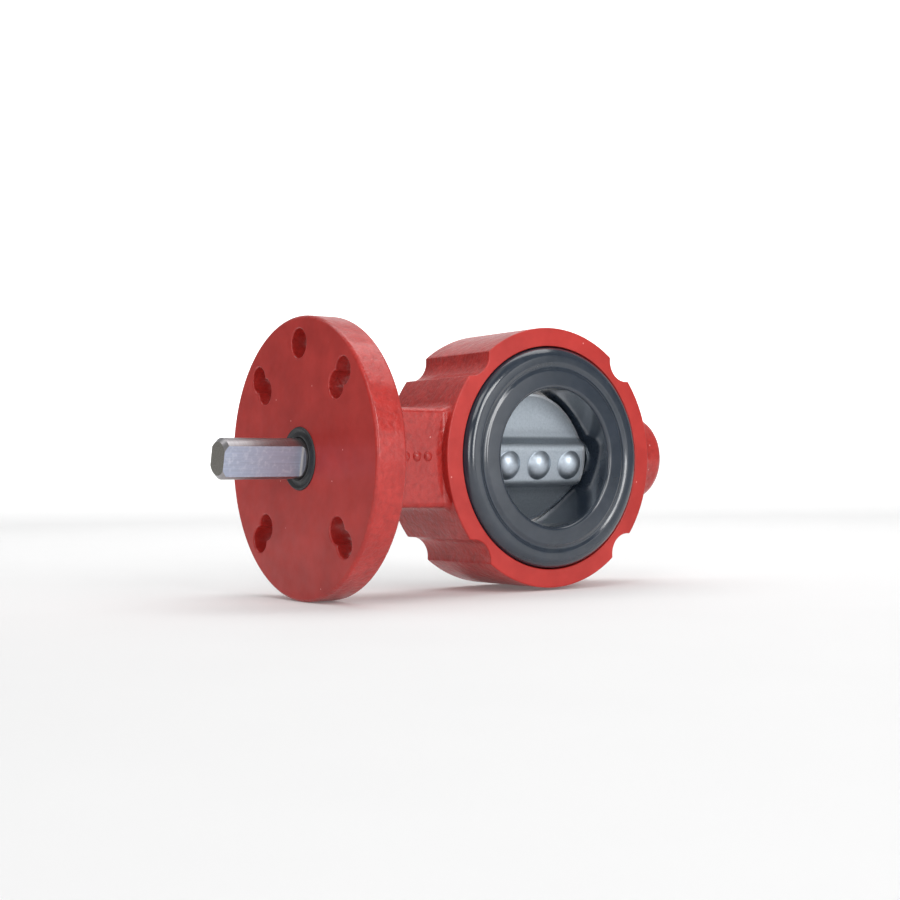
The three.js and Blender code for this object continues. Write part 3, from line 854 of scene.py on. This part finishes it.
def make_weather_seal():
    """A moulded seal with a raised lip against the stem and a bead at its rim."""
    inner = STEM_RADIUS + WEATHER_SEAL_STEM_GAP
    lip_x = SEAL_LOW.x + SEAL_LIP_SIZE
    valley_x = FLANGE_FACE + SEAL_VALLEY_SIZE
    bead_x = SEAL_LOW.x + SEAL_BEAD_DEPTH
    outline = [(SEAL_HIGH.x, inner), (lip_x, inner)]
    outline += arc(lip_x, inner + SEAL_LIP_OFFSET, SEAL_LIP_SIZE, 180, 90, 4)
    outline += arc(valley_x, inner + SEAL_VALLEY_OFFSET, SEAL_VALLEY_SIZE, 200, 160, 3)
    outline += arc(bead_x, WEATHER_SEAL_RADIUS - SEAL_BEAD_INSET, SEAL_BEAD_SIZE, 200, 90, 6)
    outline.append((SEAL_HIGH.x, WEATHER_SEAL_RADIUS))
    seal = turned_ring("stem_seal", outline)
    smoothed(finished(seal, BLACK_RUBBER), SHARP_ANGLE_TURNED)
    return placed(seal, STATIC_BODY, "stem_weather_seal")


# ---- what turns: stem, disc and pins ----------------------------------------------------------

def flat_cutter(side):
    """A milling cut: a slab whose inner end is rounded by the cutter's radius."""
    low = STEM_LOW.x - PAST
    near = FLATS_ACROSS / 2
    far = STEM_RADIUS + PAST
    corner = arc(FLATS_SHOULDER - FLATS_CUTTER_RADIUS, near + FLATS_CUTTER_RADIUS,
                 FLATS_CUTTER_RADIUS, 270, 360, 8)
    section = [(low, near)] + corner + [(FLATS_SHOULDER, far), (low, far)]
    return lofted("flat", [[(x, side * y, z) for x, y in section] for z in (-far, far)])


def stem_faces(stem):
    """Slot 0 on the flats, 2 on the drive end, 1 on all the rest."""
    for face in stem.data.polygons:
        on_flat = abs(face.normal.y) > FLAT_FACING and face.center.x < FLATS_SHOULDER * MM
        on_end = face.normal.x < -END_FACING and face.center.x < (STEM_LOW.x + STEM_CHAMFER) * MM
        face.material_index = 0 if on_flat else 2 if on_end else 1


def make_stem():
    """One long round bar with its clip groove, its two flats and the holes for the pins."""
    tip, tail = STEM_LOW.x, STEM_HIGH.x
    groove_low, groove_high = (FLANGE_FACE + depth for depth in CLIP_GROOVE_DEPTHS)
    outline = [
        (tip, STEM_RADIUS - STEM_CHAMFER),
        (tip + STEM_CHAMFER, STEM_RADIUS),
        (groove_low, STEM_RADIUS),
        (groove_low, CLIP_GROOVE_RADIUS),
        (groove_high, CLIP_GROOVE_RADIUS),
        (groove_high, STEM_RADIUS),
        (tail - STEM_TAIL_CHAMFER, STEM_RADIUS),
        (tail, STEM_RADIUS - STEM_TAIL_CHAMFER),
    ]
    stem = turned("drive_stem", outline)
    cut(stem, flat_cutter(-1), flat_cutter(1))
    for x in PIN_POSITIONS:
        cut(stem, pin_drill(x, RING_RADIUS))
    eased(stem, STEM_EDGE_EASE)
    finished(stem, STEM_FLATS, STEM_ROUND, STEM_END)
    stem_faces(stem)
    smoothed(opened(stem))
    return placed(stem, TURNING_BODY, "stem")


def pin_drill(x, reach):
    """The cutter for a pin's shank."""
    return rod(-reach, reach, PIN_SHANK_RADIUS + CLEARANCE, "Y", at=(x, 0.0))


def catmull_rom(p, q, r, w, t):
    """One coordinate of the smooth curve from q to r, at t between 0 and 1."""
    return 0.5 * (2 * q + (r - p) * t + (2 * p - 5 * q + 4 * r - w) * t ** 2
                  + (3 * q - p - 3 * r + w) * t ** 3)


def smooth_through(points):
    """A smooth curve through the points."""
    ends = [points[0]] + points + [points[-1]]
    curve = []
    for four in zip(ends, ends[1:], ends[2:], ends[3:]):
        for i in range(CURVE_STEPS):
            curve.append(tuple(catmull_rom(*values, i / CURVE_STEPS) for values in zip(*four)))
    return curve + [points[-1]]


def disc_outline():
    """The disc's section across the stem as (y, z): hub with eased corners, flank and web."""
    corner = arc(HUB_HALF_DEPTH - HUB_CORNER, HUB_FACE_HALF_HEIGHT, HUB_CORNER,
                 0, HUB_CORNER_TURN, 10)
    quarter = corner + smooth_through([corner[-1]] + DISC_SECTION)[1:]
    upper = quarter + [(-y, z) for y, z in reversed(quarter)]
    return upper + [(-y, -z) for y, z in upper]


def disc_blank():
    """The section drawn out along the stem and turned to a ball."""
    section = disc_outline()
    stations = []
    for i in range(DISC_STATIONS + 1):
        stations.append((DISC_RADIUS + DISC_BLANK_PAST) * (2 * i / DISC_STATIONS - 1))
    blank = lofted("steel_disc", [[(x, y, z) for y, z in section] for x in stations])
    outline = arc(0.0, 0.0, DISC_RADIUS, 180 - TIP_ANGLE, TIP_ANGLE, BALL_STEPS)
    ball = turned("ball", outline, steps=LARGE_STEPS)
    return combined(blank, [ball], "INTERSECT")


def disc_journal(side):
    """The round end of the hub, which turns against the seat."""
    edge = arc(HUB_END_X - HUB_END_EASE, HUB_END_RADIUS - HUB_END_EASE, HUB_END_EASE, 90, 0, 4)
    outline = [(DISC_RADIUS - HUB_END_RADIUS, HUB_END_RADIUS)] + edge
    return turned("journal", [(side * along, radius) for along, radius in outline])


def make_disc():
    """The disc with its hub, drilled for the stem, the pins and the O-rings under their heads."""
    disc = joined(disc_blank(), disc_journal(-1), disc_journal(1))
    drills = [rod(-DISC_RADIUS - PAST, DISC_RADIUS + PAST, STEM_RADIUS + CLEARANCE)]
    for x in PIN_POSITIONS:
        drills.append(pin_drill(x, DISC_RADIUS))
        drills.append(rod(-DISC_RADIUS, ORING_SEAT_DEPTH - HUB_HALF_DEPTH, ORING_SEAT_RADIUS,
                          "Y", at=(x, 0.0)))
    cut(disc, *drills)
    finished(disc, DISC_STEEL, EDGE_STEEL)
    for face in disc.data.polygons:
        centre = face.center / MM
        face.material_index = 1 if centre.length > DISC_RADIUS - DISC_EDGE_REACH else 0
    smoothed(opened(disc), SHARP_ANGLE_TURNED)
    return placed(disc, TURNING_BODY, "disc")


def make_pin(number, x):
    """A domed head on a plain shank whose tail shows in the back of the hub."""
    seat = -HUB_HALF_DEPTH
    cap = (PIN_HEAD_RADIUS ** 2 + PIN_HEAD_HEIGHT ** 2) / (2 * PIN_HEAD_HEIGHT)
    spread = math.degrees(math.asin((PIN_HEAD_RADIUS - PIN_HEAD_EDGE) / cap))
    dome = arc(seat - PIN_HEAD_HEIGHT + cap, 0.0, cap, 180 - TIP_ANGLE, 180 - spread, 14)
    shank = [
        (seat - PIN_HEAD_EDGE, PIN_HEAD_RADIUS),
        (seat, PIN_HEAD_RADIUS - PIN_HEAD_UNDERCUT),
        (seat, PIN_SHANK_RADIUS),
        (PIN_TAIL - PIN_TAIL_CHAMFER, PIN_SHANK_RADIUS),
        (PIN_TAIL, PIN_SHANK_RADIUS - PIN_TAIL_CHAMFER),
    ]
    pin = turned(f"domed_pin_{number}", dome + shank, "Y", SMALL_STEPS)
    smoothed(finished(opened(moved(pin, (x, 0, 0))), PIN_STEEL), SHARP_ANGLE_TURNED)
    return placed(pin, TURNING_BODY, f"disc_pin_{number}")


# ---- the pieces hidden inside keep their CAD shapes -------------------------------------------

HIDDEN_FINISHES = {
    "seat_backing_ring": PHENOLIC,
    "retaining_ring": SPRING_STEEL,
    "outer_thrust_washer": BRASS,
    "inner_thrust_washer": BRASS,
    "stem_clip_half_1": BRASS,
    "stem_clip_half_2": BRASS,
    "upper_bushing": ACETAL,
    "middle_bushing": ACETAL,
    "lower_bushing": ACETAL,
    "bottom_thrust_pad": ACETAL,
    "stem_u_cup": BLACK_RUBBER,
    "upper_stem_oring": BLACK_RUBBER,
    "lower_stem_oring": BLACK_RUBBER,
    "disc_pin_oring_1": BLACK_RUBBER,
    "disc_pin_oring_2": BLACK_RUBBER,
    "disc_pin_oring_3": BLACK_RUBBER,
}


# ---- floor, light and camera ------------------------------------------------------------------

CAMERA_AZIMUTH = math.radians(-38.59)
CAMERA_ELEVATION = math.radians(-0.627)
CAMERA_DISTANCE = 574.8
CAMERA_AIM = (math.radians(2.690), math.radians(0.352), math.radians(-0.577))  # pan, tilt, roll
FOCAL_LENGTH = 58.82
SENSOR_WIDTH = 36.0

FLOOR_LEVEL = CAD_BOX[0].z / MM
SHEET_FRONT = 2500.0  # how far the sheet reaches
SHEET_BACK = 2000.0
SHEET_BEND = 400.0
SHEET_TOP = 2600.0
SHEET_HALF_WIDTH = 4000.0
SHEET_GLOW = 0.1
BOWL_RADIUS = 1350.0
BOWL_BEND = 450.0
BOWL_TOP = 2500.0
BOWL_GAP = 0.5  # how far its foot stays clear of the sheet
BOWL_GLOW = 0.72
BOWL_FADE = 90.0  # the height over which its glow comes up

WORLD_GLOW = 0.2
LIGHT_DISTANCE = 1.2  # metres, as are all sizes of lights
LIGHTS = [  # name, azimuth, elevation, width, height, power in watts
    ("key", -4, 18, 0.34, 0.80, 6.8),
    ("small key", 10, 26, 0.2, 0.2, 1.2),
    ("left", -50, 8, 0.5, 0.5, 1.8),
    ("edge light", -51, 7, 0.08, 0.26, 0.55),
    ("left high", -50, 42, 0.5, 0.5, 2.6),
    ("right", 26, 6, 0.5, 0.5, 1.2),
    ("back left", -130, 40, 0.5, 0.5, 0.6),
    ("top", -38, 70, 0.5, 0.5, 0.5),
    ("back top", 120, 62, 0.5, 0.5, 0.6),
]
BACKDROP_LIGHT_SIZE = 1.6
BACKDROP_LIGHT_POWER = 20.0
BACKDROP_LIGHT_BEHIND = 0.5
BACKDROP_LIGHT_HEIGHT = 1.3


def toward(azimuth, elevation):
    """The direction from the valve to where something stands, with angles in radians."""
    level = math.cos(elevation)
    return Vector((math.sin(azimuth) * level, -math.cos(azimuth) * level, math.sin(elevation)))


def open_skin(name, rows, closed=False):
    """A smooth sheet through rows of points. If it is closed, each row goes all the way round."""
    bm = bmesh.new()
    rows = [[bm.verts.new(Vector(point) * MM) for point in row] for row in rows]
    for low, high in zip(rows, rows[1:]):
        bridged(bm, low, high, len(low) if closed else len(low) - 1)
    skin = made(name, bm)
    skin.data.shade_smooth()
    return skin


def make_floor():
    """A pale sheet that curves up behind the valve."""
    profile = [(-SHEET_FRONT, FLOOR_LEVEL)]
    profile += arc(SHEET_BACK - SHEET_BEND, FLOOR_LEVEL + SHEET_BEND, SHEET_BEND, 270, 360, 16)
    profile.append((SHEET_BACK, SHEET_TOP))
    sides = (-SHEET_HALF_WIDTH, SHEET_HALF_WIDTH)
    floor = open_skin("floor", [[(x, y, z) for x in sides] for y, z in profile])
    floor.data.transform(Matrix.Rotation(CAMERA_AZIMUTH, 4, "Z"))
    finished(floor, paper("pale floor", Emission_Strength=SHEET_GLOW).done())


def make_surround():
    """A pale bowl that only the camera sees, so that every view has a plain background."""
    foot = FLOOR_LEVEL + BOWL_GAP
    profile = arc(BOWL_RADIUS - BOWL_BEND, foot + BOWL_BEND, BOWL_BEND, 270, 360, 24)
    profile.append((BOWL_RADIUS, BOWL_TOP))
    rows = []
    for radius, z in profile:
        loop = round_loop(z, radius, "X", MEDIUM_STEPS)
        rows.append([(across, up, along) for along, across, up in reversed(loop)])
    surround = open_skin("surround", rows, closed=True)
    surround.visible_diffuse = False
    surround.visible_glossy = False
    surround.visible_transmission = False
    surround.visible_volume_scatter = False
    surround.visible_shadow = False
    pale = paper("pale surround")
    fade = (foot * MM, foot * MM + BOWL_FADE * MM)
    pale.drive("Emission Strength", pale.ranged(pale.height(), *fade, SHEET_GLOW, BOWL_GLOW))
    finished(surround, pale.done())


def area_light(name, power, width, height):
    """A rectangular light that shines along its own -Z."""
    light = bpy.data.lights.new(name, "AREA")
    light.shape = "RECTANGLE"
    light.size = width
    light.size_y = height
    light.energy = power
    lamp = bpy.data.objects.new(name, light)
    bpy.context.scene.collection.objects.link(lamp)
    return lamp


def make_lights():
    """A dim world, the lights that face the valve, and one behind it that faces the sheet."""
    world = bpy.data.worlds.new("studio")
    bpy.context.scene.world = world
    world.use_nodes = True
    background = world.node_tree.nodes["Background"]
    background.inputs["Color"].default_value = WHITE
    background.inputs["Strength"].default_value = WORLD_GLOW
    for name, azimuth, elevation, width, height, power in LIGHTS:
        lamp = area_light(name, power, width, height)
        away = toward(math.radians(azimuth), math.radians(elevation))
        lamp.location = away * LIGHT_DISTANCE
        lamp.rotation_euler = away.to_track_quat("Z", "Y").to_euler()
    lamp = area_light("backdrop light", BACKDROP_LIGHT_POWER, BACKDROP_LIGHT_SIZE,
                      BACKDROP_LIGHT_SIZE)
    up = Vector((0.0, 0.0, 1.0))
    behind = -toward(CAMERA_AZIMUTH, 0.0)
    lamp.location = behind * BACKDROP_LIGHT_BEHIND + up * BACKDROP_LIGHT_HEIGHT
    lamp.rotation_euler = (up - behind).to_track_quat("Z", "Y").to_euler()


def make_camera():
    """The photo's view: the camera faces the middle of the bore, and is then aimed aside a little."""
    data = bpy.data.cameras.new("camera")
    data.lens = FOCAL_LENGTH
    data.sensor_width = SENSOR_WIDTH
    camera = bpy.data.objects.new("camera", data)
    back = toward(CAMERA_AZIMUTH, CAMERA_ELEVATION)
    right = Vector((math.cos(CAMERA_AZIMUTH), math.sin(CAMERA_AZIMUTH), 0.0))
    facing = Matrix((right, back.cross(right), back)).transposed()
    pan, tilt, roll = CAMERA_AIM
    aim = Matrix.Rotation(pan, 3, "Y") @ Matrix.Rotation(tilt, 3, "X") @ Matrix.Rotation(roll, 3, "Z")
    place = Matrix.Translation(back * CAMERA_DISTANCE * MM)
    camera.matrix_world = place @ (facing @ aim).to_4x4()
    bpy.context.scene.collection.objects.link(camera)
    bpy.context.scene.camera = camera


def main():
    """Builds every piece, and then the studio round them."""
    make_camera()
    make_body()
    make_seat()
    make_weather_seal()
    make_stem()
    make_disc()
    for number, x in enumerate(PIN_POSITIONS, start=1):
        make_pin(number, x)
    for node, material in HIDDEN_FINISHES.items():
        finished(frame["nodes"][node], material)
    make_floor()
    make_surround()
    make_lights()
    bpy.context.scene.view_settings.view_transform = "Standard"


main()
